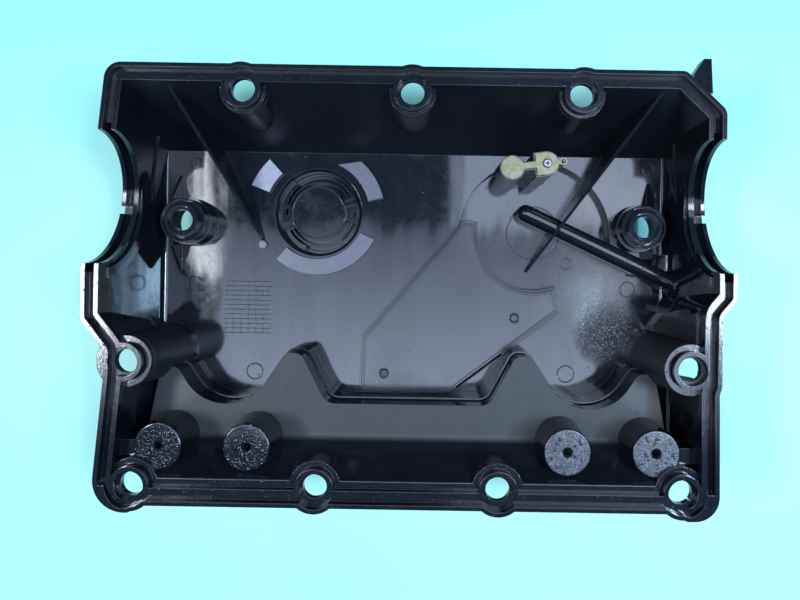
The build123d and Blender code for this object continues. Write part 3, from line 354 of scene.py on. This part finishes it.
def cover_masks(n, place):
    """Where each finish of the cover lies, told apart by height, place and facing."""
    axes = n.axes(place)
    x, y, z = axes["X"], axes["Y"], axes["Z"]
    facing = n.axes(n.true_normal())["Z"]
    up = n.ramp(facing, 0.75, 0.95)

    def level(low, high):
        return n.math("MULTIPLY", n.band(z, low, high), up)

    floors = level(RECESS_Z - 1.0 * MM, FLOOR_Z + 1.0 * MM)
    filler = n.math("MULTIPLY", level(FLOOR_Z + 2.2 * MM, FLOOR_Z + 3.6 * MM),
                    n.spot(place, FILLER_NECK, 47.0 * MM, 1.0 * MM))
    pads = n.math("MULTIPLY", level(PAD_Z - 0.6 * MM, PAD_Z + 0.6 * MM),
                  n.ramp(y, PAD_STRIP_Y, PAD_STRIP_Y - 1.0 * MM))
    # right-hand pads: a rougher finish, and a painted sheen in their colour
    dry_pads_and_sheen = n.math("MULTIPLY", pads, n.ramp(x, 0.0, 1.0 * MM))
    mirrored = n.add("ShaderNodeCombineXYZ", {0: n.math("ABSOLUTE", x), 1: y}).outputs[0]
    return {
        "shelf": n.product(n.band(z, SHELF_Z - 2.0 * MM, SHELF_Z + 7.0 * MM, 1.0 * MM),
                           n.ramp(facing, 0.35, 0.8),
                           n.ramp(y, SHELF_EDGE_Y, SHELF_EDGE_Y - 2.0 * MM)),
        "lips": level(LIP_Z - 0.8 * MM, LIP_Z + 2.0 * MM),
        "groove": level(LIP_Z - 6.5 * MM, LIP_Z - 3.0 * MM),
        "post_tops": level(POST_Z - 6.0 * MM, POST_Z + 4.0 * MM),
        "filler": filler,
        # painted highlight on the filler pad that mirrors the light most
        "painted_highlight_filler": n.math("MULTIPLY", filler,
                                n.spot(place, PAINTED_HIGHLIGHT_RAMP, 14.0 * MM, 1.0 * MM)),
        "pads": pads,
        "dry_pads_and_sheen": dry_pads_and_sheen,
        "wet_pads": n.math("SUBTRACT", pads, dry_pads_and_sheen),
        "rear_wall": n.math("MULTIPLY", n.ramp(y, REAR_WALL_Y, REAR_WALL_Y + 8.0 * MM),
                            n.ramp(facing, 0.75, 0.65)),
        "columns": n.math("MULTIPLY", n.spot(mirrored, SIDE_COLUMN, 29.0 * MM, 3.0 * MM),
                          n.band(z, 30.0 * MM, 85.5 * MM)),
        "misted": n.math("MULTIPLY", floors, n.spot(place, MISTED_SPOT, 14.0 * MM, 10.0 * MM)),
        "haze": n.math("MULTIPLY", floors, n.spot(place, HAZY_SPOT, 20.0 * MM, 14.0 * MM)),
    }


def cover_roughness(n, masks):
    rough = n.group(FILM, Scale=26.0, Dry=0.16, Wet=0.08, Coverage=0.62)["Roughness"]
    for name, value in COVER_ROUGHNESS:
        rough = n.blend(masks[name], rough, value)
    return rough


def cover_normal(n, masks, soft_normal):
    """Sags and waves of the moulding, then grain, pooled oil and drops on top of them."""
    sag = n.math("MULTIPLY", masks["misted"], MIST_SAG)
    lean = n.scaled(LEAN, n.math("SUBTRACT", masks["post_tops"], sag))
    leaned = n.vector("ADD", soft_normal, lean).outputs[0]
    flat_lips = n.scaled(n.true_normal(), n.math("MULTIPLY", masks["lips"], LIP_STEADINESS))
    steady = n.vector("ADD", leaned, flat_lips).outputs[0]
    normal = n.group(WAVES, Across=95.0, Along=14.0, Tilt=0.05, Normal=steady)["Normal"]

    grain = n.total(GRAIN_SHARES, masks, base=GRAIN_EVERYWHERE)
    normal = n.group(GRAIN, **GRAIN_SIZE, Mask=grain, Normal=normal)["Normal"]
    pooled = n.total(POOL_SHARES, masks)
    normal = n.group(GRAIN, **POOL_SIZE, Mask=pooled, Normal=normal)["Normal"]
    drops = n.total(DROP_SHARES, masks, base=DROPS_EVERYWHERE)
    return n.group(SPECKS, **SPECK_SIZE, Mask=drops, Normal=normal)["Normal"]


def painted_glint_mask(n, place, masks):
    """Pale specks painted on as glints of light: sparse on the oily pads and lips, thick on the
    dry pads, and scattered on the misted patch.
    """
    fine = n.noise(place, 950.0, detail=2.0, rough=0.6)
    mist = n.noise(place, 1150.0, detail=2.0, rough=0.6)
    patches = n.ramp(n.noise(place, 210.0, detail=3.0, rough=0.6), 0.38, 0.62, 0.04, 0.42)
    flange = n.math("ADD", masks["lips"], masks["groove"])
    parts = (
        n.product(n.ramp(fine, 0.63, 0.71), masks["wet_pads"]),
        n.product(n.ramp(fine, 0.46, 0.66), masks["dry_pads_and_sheen"], patches),
        n.product(n.ramp(fine, 0.70, 0.78), flange, 0.35),
        n.product(n.ramp(mist, 0.57, 0.66), n.ramp(masks["misted"], 0.05, 0.8), 0.75),
    )
    result = parts[0]
    for part in parts[1:]:
        result = n.math("ADD", result, part, clamp=True)
    return result


def cover_color(n, place, masks, edge):
    cloud = n.ramp(n.noise(place, 24.0, detail=4.0, rough=0.6), 0.3, 0.7)
    worn = n.ramp(n.noise(place, 70.0, detail=6.0, rough=0.7), 0.35, 0.65, 0.25, 1.0)
    mottled = n.ramp(n.noise(place, 260.0, detail=4.0, rough=0.65), 0.3, 0.7, 0.72, 1.0)
    dirt = n.group(DUST, Scale=85.0, Amount=0.16)["Mask"]
    color = n.mix(cloud, SHADOW_BLACK, MOULDED_BLACK)
    for factor, paint in (
            (n.math("MULTIPLY", masks["shelf"], worn), SHELF_BLACK),
            # painted sheen on the rough filler pads
            (n.math("MULTIPLY", masks["filler"], mottled), FILLER_SHEEN_GREY),
            # painted highlight on one filler pad
            (n.math("MULTIPLY", masks["painted_highlight_filler"], mottled), FILLER_PAINTED_HIGHLIGHT),
            # painted sheen on the right-hand pads
            (masks["dry_pads_and_sheen"], DRY_PAD_PAINTED_SHEEN),
            # pale specks painted on as glints of light
            (painted_glint_mask(n, place, masks), PAINTED_GLINT_GREY),
            # painted highlight along the edges
            (n.math("MULTIPLY", edge, EDGE_HIGHLIGHT_SHARE), EDGE_PAINTED_HIGHLIGHT),
            (dirt, DRIED_DUST)):
        color = n.mix(factor, color, paint)
    return color


def cover_material():
    """Black glass-filled plastic of the cover, finished differently at each level."""
    material, n = blank_material("cover_black")
    place = n.place()
    masks = cover_masks(n, place)
    soft = n.group(EDGE, Radius=0.45 * MM)
    finish_material(n, cover_color(n, place, masks, soft["Edge"]), cover_roughness(n, masks),
                    cover_normal(n, masks, soft["Normal"]), ior=PLASTIC_IOR)
    return material


def plastic(name, color, dry=0.3, wet=0.1, coverage=0.6, scale=40.0, edge=0.5 * MM, tilt=0.03,
            grain=0.1, specks=0.02, dust=0.12):
    """Black moulded plastic with oil, rounded edges with a painted highlight, and light residue.
    """
    material, n = blank_material(name)
    soft = n.group(EDGE, Radius=edge)
    rough = n.group(FILM, Scale=scale, Dry=dry, Wet=wet, Coverage=coverage)["Roughness"]
    normal = n.group(WAVES, Across=80.0, Along=20.0, Tilt=tilt, Normal=soft["Normal"])["Normal"]
    normal = n.group(GRAIN, **GRAIN_SIZE, Mask=grain, Normal=normal)["Normal"]
    normal = n.group(SPECKS, **SPECK_SIZE, Mask=specks, Normal=normal)["Normal"]
    dirt = n.group(DUST, Scale=90.0, Amount=dust)["Mask"]
    lighter = tuple(channel * 1.8 for channel in color[:3]) + (1,)
    cloud = n.noise(n.place(), 30.0, detail=4.0, rough=0.6)
    base = n.mix(n.ramp(cloud, 0.3, 0.7), color, lighter)
    # painted highlight along the edges
    base = n.mix(n.math("MULTIPLY", soft["Edge"], EDGE_HIGHLIGHT_SHARE), base, EDGE_PAINTED_HIGHLIGHT)
    base = n.mix(dirt, base, DRIED_DUST)
    finish_material(n, base, rough, normal, ior=PLASTIC_IOR)
    return material


def metal(name, color, tint, rough):
    """Spring steel with brushed lines, stained by warm oil."""
    material, n = blank_material(name)
    place = n.place()
    stain = n.ramp(n.noise(place, 420.0, detail=5.0, rough=0.6), 0.38, 0.62)
    brushed = n.vector("MULTIPLY", place, (500.0, 5200.0, 500.0)).outputs[0]
    lines = n.noise(brushed, 1.0, detail=2.0, rough=0.6)
    fine = n.noise(place, 2600.0, detail=3.0, rough=0.6)
    soft = n.group(EDGE, Radius=0.12 * MM)
    height = n.math("ADD", n.product(lines, 0.02 * MM), n.product(fine, 0.02 * MM))
    rim = n.math("MULTIPLY", soft["Edge"], 0.8)
    base = n.mix(rim, n.mix(stain, color, tint), STEEL_EDGE)
    finish_material(n, base, n.ramp(fine, 0.3, 0.7, rough - 0.08, rough + 0.14),
                    n.bump(height, soft["Normal"]), metallic=1.0)
    return material


def wear_material(node, material):
    """Gives a CAD node one material in all its slots."""
    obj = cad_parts[node]
    if not obj.material_slots:
        obj.data.materials.append(material)
    for slot in obj.material_slots:
        slot.material = material


OILED_BLACK = (0.004, 0.005, 0.0075, 1)
COVER = cover_material()
BAFFLE = plastic("baffle_black", OILED_BLACK, dry=0.22, wet=0.13, coverage=0.5, scale=24.0,
                 grain=0.14)
CAP = plastic("cap_black", OILED_BLACK, dry=0.25, wet=0.10, specks=0.05)
GRIP = plastic("grip_black", (0.009, 0.009, 0.010, 1), dry=0.5, wet=0.35, coverage=0.2,
               grain=0.3)
PIN = plastic("pin_black", (0.003, 0.003, 0.004, 1), dry=0.6, wet=0.45, edge=0.3 * MM,
              tilt=0.5, specks=0.3)
RUBBER = plastic("seal_rubber", (0.012, 0.012, 0.012, 1), dry=0.6, wet=0.4, coverage=0.2,
                 edge=0.3 * MM)
DROP = plastic("clear_oil_on_black", (0.004, 0.005, 0.006, 1), dry=0.06, wet=0.04,
               edge=0.1 * MM, grain=0.0, specks=0.0, dust=0.0)
REED = metal("reed_steel", (0.25, 0.25, 0.195, 1), (0.21, 0.19, 0.09, 1), rough=0.55)
RIVET = metal("rivet_steel", (0.22, 0.23, 0.25, 1), (0.14, 0.14, 0.15, 1), rough=0.35)
SPRING = metal("spring_steel", (0.6, 0.6, 0.6, 1), (0.45, 0.45, 0.45, 1), rough=0.25)

FINISH = {
    "cover_shell": COVER, "baffle_plate": BAFFLE, "baffle_pins": PIN, "reed_leaf": REED,
    "reed_rivet": RIVET, "cap_plug": CAP, "cap_seal": RUBBER, "cap_grip": GRIP,
    "breather_lid": GRIP, "diaphragm": RUBBER, "diaphragm_disc": PIN,
    "regulator_spring": SPRING,
}
for node_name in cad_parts:
    wear_material(node_name, FINISH[node_name])


# ---- small pieces that repeat ---------------------------------------------------------------
def grow(name, tree, values, body):
    """Runs a geometry tree once and keeps its result as a plain mesh on a body."""
    obj = bpy.data.objects.new(name, bpy.data.meshes.new(name))
    bpy.context.scene.collection.objects.link(obj)
    modifier = obj.modifiers.new("grow", "NODES")
    modifier.node_group = tree
    sockets = {item.name: item.identifier for item in tree.interface.items_tree
               if item.item_type == "SOCKET" and item.in_out == "INPUT"}
    for key, value in values.items():
        modifier[sockets[key]] = value
    graph = bpy.context.evaluated_depsgraph_get()
    result = bpy.data.meshes.new_from_object(obj.evaluated_get(graph), depsgraph=graph)
    obj.modifiers.remove(modifier)
    obj.data = result
    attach(obj, body)


def marking_grid_tree():
    """Raised lines of an empty marking table, moulded on the floor."""
    tree, n, i, end = new_group(
        "marking_grid",
        [("Width", FLOAT, 28.0 * MM), ("Height", FLOAT, 32.0 * MM), ("Rows", INTEGER, 10),
         ("Columns", INTEGER, 6), ("Line", FLOAT, 0.4 * MM), ("Rise", FLOAT, 0.3 * MM),
         ("Centre", VECTOR, None), ("Material", MATERIAL, None)],
        [("Geometry", GEOMETRY)], "GeometryNodeTree")

    def lines(count, span, length, axis):
        """Ridges spaced evenly along one axis (0 or 1), each as long as the other side."""
        step = n.math("DIVIDE", span, count)
        first = n.math("MULTIPLY", span, -0.5)
        start = n.add("ShaderNodeCombineXYZ", {axis: first}).outputs[0]
        offset = n.add("ShaderNodeCombineXYZ", {axis: step}).outputs[0]
        row = n.add("GeometryNodeMeshLine",
                    {"Count": n.math("ADD", count, 1.0), "Start Location": start,
                     "Offset": offset}, mode="OFFSET")
        size = n.add("ShaderNodeCombineXYZ", {axis: i["Line"], 1 - axis: length, 2: i["Rise"]})
        ridge = n.add("GeometryNodeMeshCube", {"Size": size.outputs[0]}).outputs["Mesh"]
        return n.add("GeometryNodeInstanceOnPoints",
                     {"Points": row.outputs[0], "Instance": ridge}).outputs[0]

    join = n.add("GeometryNodeJoinGeometry")
    tree.links.new(lines(i["Rows"], i["Height"], i["Width"], 1), join.inputs[0])
    tree.links.new(lines(i["Columns"], i["Width"], i["Height"], 0), join.inputs[0])
    placed = n.add("GeometryNodeTransform",
                   {"Geometry": join.outputs[0], "Translation": i["Centre"]}).outputs[0]
    real = n.add("GeometryNodeRealizeInstances", {0: placed}).outputs[0]
    done = n.add("GeometryNodeSetMaterial", {"Geometry": real, "Material": i["Material"]})
    n.feed(end, 0, done.outputs[0])
    return tree


def oil_drops_tree():
    """Flat domes of oil scattered over a round face with a hole in it."""
    tree, n, i, end = new_group(
        "oil_drops",
        [("Radius", FLOAT, 11.5 * MM), ("Hole", FLOAT, 3.5 * MM), ("Density", FLOAT, 300000.0),
         ("Smallest", FLOAT, 0.2 * MM), ("Largest", FLOAT, 0.6 * MM),
         ("Flatness", FLOAT, 0.45), ("Seed", INTEGER, 1), ("Centre", VECTOR, None),
         ("Material", MATERIAL, None)],
        [("Geometry", GEOMETRY)], "GeometryNodeTree")

    def active(sockets, name):
        return [socket for socket in sockets if socket.name == name and socket.enabled][0]

    face = n.add("GeometryNodeMeshCircle", {"Vertices": 48, "Radius": i["Radius"]},
                 fill_type="NGON").outputs[0]
    spread = n.add("GeometryNodeDistributePointsOnFaces",
                   {"Mesh": face, "Density": i["Density"], "Seed": i["Seed"]},
                   distribute_method="RANDOM")
    here = n.add("GeometryNodeInputPosition").outputs[0]
    reach = n.vector("LENGTH", here).outputs["Value"]
    in_hole = n.add("FunctionNodeCompare", {0: reach, 1: i["Hole"]}, data_type="FLOAT",
                    operation="LESS_THAN").outputs[0]
    kept = n.add("GeometryNodeDeleteGeometry",
                 {"Geometry": spread.outputs["Points"], "Selection": in_hole},
                 domain="POINT").outputs[0]
    ball = n.add("GeometryNodeMeshIcoSphere", {"Radius": 1.0, "Subdivisions": 2})
    dome = n.add("GeometryNodeSetShadeSmooth", {"Geometry": ball.outputs["Mesh"]}).outputs[0]
    size = n.add("FunctionNodeRandomValue", data_type="FLOAT")
    for key, value in (("Min", i["Smallest"]), ("Max", i["Largest"]), ("Seed", i["Seed"])):
        tree.links.new(value, active(size.inputs, key))
    width = active(size.outputs, "Value")
    height = n.math("MULTIPLY", width, i["Flatness"])
    scale = n.add("ShaderNodeCombineXYZ", {0: width, 1: width, 2: height}).outputs[0]
    drops = n.add("GeometryNodeInstanceOnPoints",
                  {"Points": kept, "Instance": dome, "Scale": scale}).outputs[0]
    placed = n.add("GeometryNodeTransform",
                   {"Geometry": drops, "Translation": i["Centre"]}).outputs[0]
    real = n.add("GeometryNodeRealizeInstances", {0: placed}).outputs[0]
    done = n.add("GeometryNodeSetMaterial", {"Geometry": real, "Material": i["Material"]})
    n.feed(end, 0, done.outputs[0])
    return tree


GRID_CENTRE = (-103.7 * MM, -13.0 * MM, FLOOR_Z)
DROPS_PER_MM2 = (0.42, 0.26, 0.05, 0.12)
MM2_PER_M2 = 1e6
FIRST_SEED = 11

grow("marking_grid", marking_grid_tree(),
     {"Width": 28.4 * MM, "Height": 32.4 * MM, "Rows": 11, "Columns": 6, "Line": 0.38 * MM,
      "Rise": 0.3 * MM, "Centre": GRID_CENTRE, "Material": COVER},
     "cover")

DROPS_TREE = oil_drops_tree()
for index, (pad, density) in enumerate(zip(BEARING_PADS, DROPS_PER_MM2)):
    grow("pad_oil_%d" % (index + 1), DROPS_TREE,
         {"Radius": 11.2 * MM, "Hole": 3.4 * MM, "Density": density * MM2_PER_M2,
          "Smallest": 0.3 * MM, "Largest": 0.95 * MM, "Flatness": 0.35,
          "Seed": FIRST_SEED + index, "Centre": (*pad, PAD_Z), "Material": DROP},
         "cover")


# ---- stage ----------------------------------------------------------------------------------
TABLE_SIZE = 6.0
TABLE_BACK = (0.32, 0.78, 0.67, 1)
# paler colour painted towards the front as a pool of light
TABLE_FRONT_PAINTED_LIGHT = (0.42, 0.76, 0.65, 1)


def table_material():
    """Pale blue-green table, with painted light making it a little paler towards the front."""
    material, n = blank_material("table_paint")
    place = n.place()
    axes = n.axes(place)
    # painted pool of light: paler towards the front and right, with some random drift
    painted_light_slope = n.math("SUBTRACT", n.math("MULTIPLY", axes["X"], 0.35), axes["Y"])
    cloud = n.noise(place, 3.0, detail=3.0, rough=0.5)
    painted_light_and_drift = n.math("ADD", painted_light_slope, n.ramp(cloud, 0.3, 0.7, -0.06, 0.06))
    color = n.mix(n.ramp(painted_light_and_drift, -0.15, 0.30), TABLE_BACK, TABLE_FRONT_PAINTED_LIGHT)
    finish_material(n, color, n.ramp(cloud, 0.3, 0.7, 0.42, 0.5), n.true_normal())
    return material


def lay_table():
    mesh = bpy.data.meshes.new("table")
    bm = bmesh.new()
    bmesh.ops.create_grid(bm, x_segments=1, y_segments=1, size=TABLE_SIZE / 2)
    bm.to_mesh(mesh)
    bm.free()
    obj = bpy.data.objects.new("table", mesh)
    bpy.context.scene.collection.objects.link(obj)
    mesh.materials.append(table_material())


EYE = Vector((14.7 * MM, 10.35 * MM, LIP_Z + 344.5 * MM))
LAMP_Z = 1.0
LAMP_GAIN = 3.0
CEILING = (0.62, 0.74, 1.0)
WINDOW = (0.86, 0.92, 1.0)
EVENING = (0.42, 0.68, 1.0)
SKY = (0.26, 0.58, 1.0, 1)
SKY_STRENGTH = 0.21

# name, two corners in millimetres of the rectangle that the lamp's reflection covers, height of
# the level face that mirrors it, strength, colour, and the fade from its front to its back edge
LAMPS = (
    ("ceiling_front", (-126, -76), (165, 38), FLOOR_Z, 3.9, CEILING, (1.9, 0.45)),
    ("ceiling_back", (27, 38), (165, 95), FLOOR_Z, 6.0, CEILING, (1.0, 1.0)),
    ("ceiling_left", (-180, -70), (-138, 60), FLOOR_Z, 1.5, CEILING, (1.0, 1.0)),
    ("window_left", (-138, 5), (-127, 85), FLOOR_Z, 16.0, WINDOW, (1.0, 1.0)),
    ("window_right", (120, -10), (149, 85), RECESS_Z, 38.0, WINDOW, (1.0, 1.0)),
    ("edge_left", (-190, -40), (-140, 26), LIP_Z, 64.0, WINDOW, (1.0, 1.0)),
    ("edge_right", (148, -20), (178, 20), LIP_Z, 28.0, WINDOW, (1.0, 1.0)),
    ("far_right", (180, -45), (206, 22), LIP_Z, 120.0, EVENING, (1.0, 1.0)),
)


def softbox(name, low, high, level, strength, color, fade):
    """Lamp overhead, sized so that its reflection covers a rectangle of a level face."""
    spread = 1.0 + (LAMP_Z - level) / (EYE.z - level)
    near = [EYE[k] + (low[k] * MM - EYE[k]) * spread for k in (0, 1)]
    far = [EYE[k] + (high[k] * MM - EYE[k]) * spread for k in (0, 1)]
    data = bpy.data.lights.new(name, "AREA")
    data.shape = "RECTANGLE"
    data.size = far[0] - near[0]
    data.size_y = far[1] - near[1]
    data.color = color
    data.energy = LAMP_GAIN * strength * data.size * data.size_y
    data.use_nodes = True
    n = Nodes(data.node_tree)
    across = n.axes(n.add("ShaderNodeNewGeometry").outputs["Parametric"])["Y"]
    n.feed(data.node_tree.nodes["Emission"], "Strength", n.ramp(across, 0.0, 1.0, *fade))
    obj = bpy.data.objects.new(name, data)
    obj.location = ((near[0] + far[0]) / 2, (near[1] + far[1]) / 2, LAMP_Z)
    obj.visible_camera = False
    bpy.context.scene.collection.objects.link(obj)


lay_table()
for lamp in LAMPS:
    softbox(*lamp)
world = bpy.data.worlds.new("studio")
bpy.context.scene.world = world
world.use_nodes = True
sky = world.node_tree.nodes["Background"]
sky.inputs["Color"].default_value = SKY
sky.inputs["Strength"].default_value = SKY_STRENGTH

# ---- camera ---------------------------------------------------------------------------------
FRAME_WIDTH = 800.0
FOCAL_LENGTH = 650.0
SHIFT = (-37.0, -27.0)
TURN = math.radians(0.95)

# the focal length and the shift are given in pixels of a frame 800 wide
camera_data = bpy.data.cameras.new("camera")
camera_data.sensor_fit = "HORIZONTAL"
camera_data.sensor_width = 36.0
camera_data.lens = FOCAL_LENGTH / FRAME_WIDTH * camera_data.sensor_width
camera_data.shift_x = SHIFT[0] / FRAME_WIDTH
camera_data.shift_y = SHIFT[1] / FRAME_WIDTH
camera_data.clip_start = 0.01
camera = bpy.data.objects.new("camera", camera_data)
camera.location = EYE
camera.rotation_euler = Euler((0.0, 0.0, TURN))
bpy.context.scene.collection.objects.link(camera)
bpy.context.scene.camera = camera
bpy.context.scene.view_settings.view_transform = "Standard"
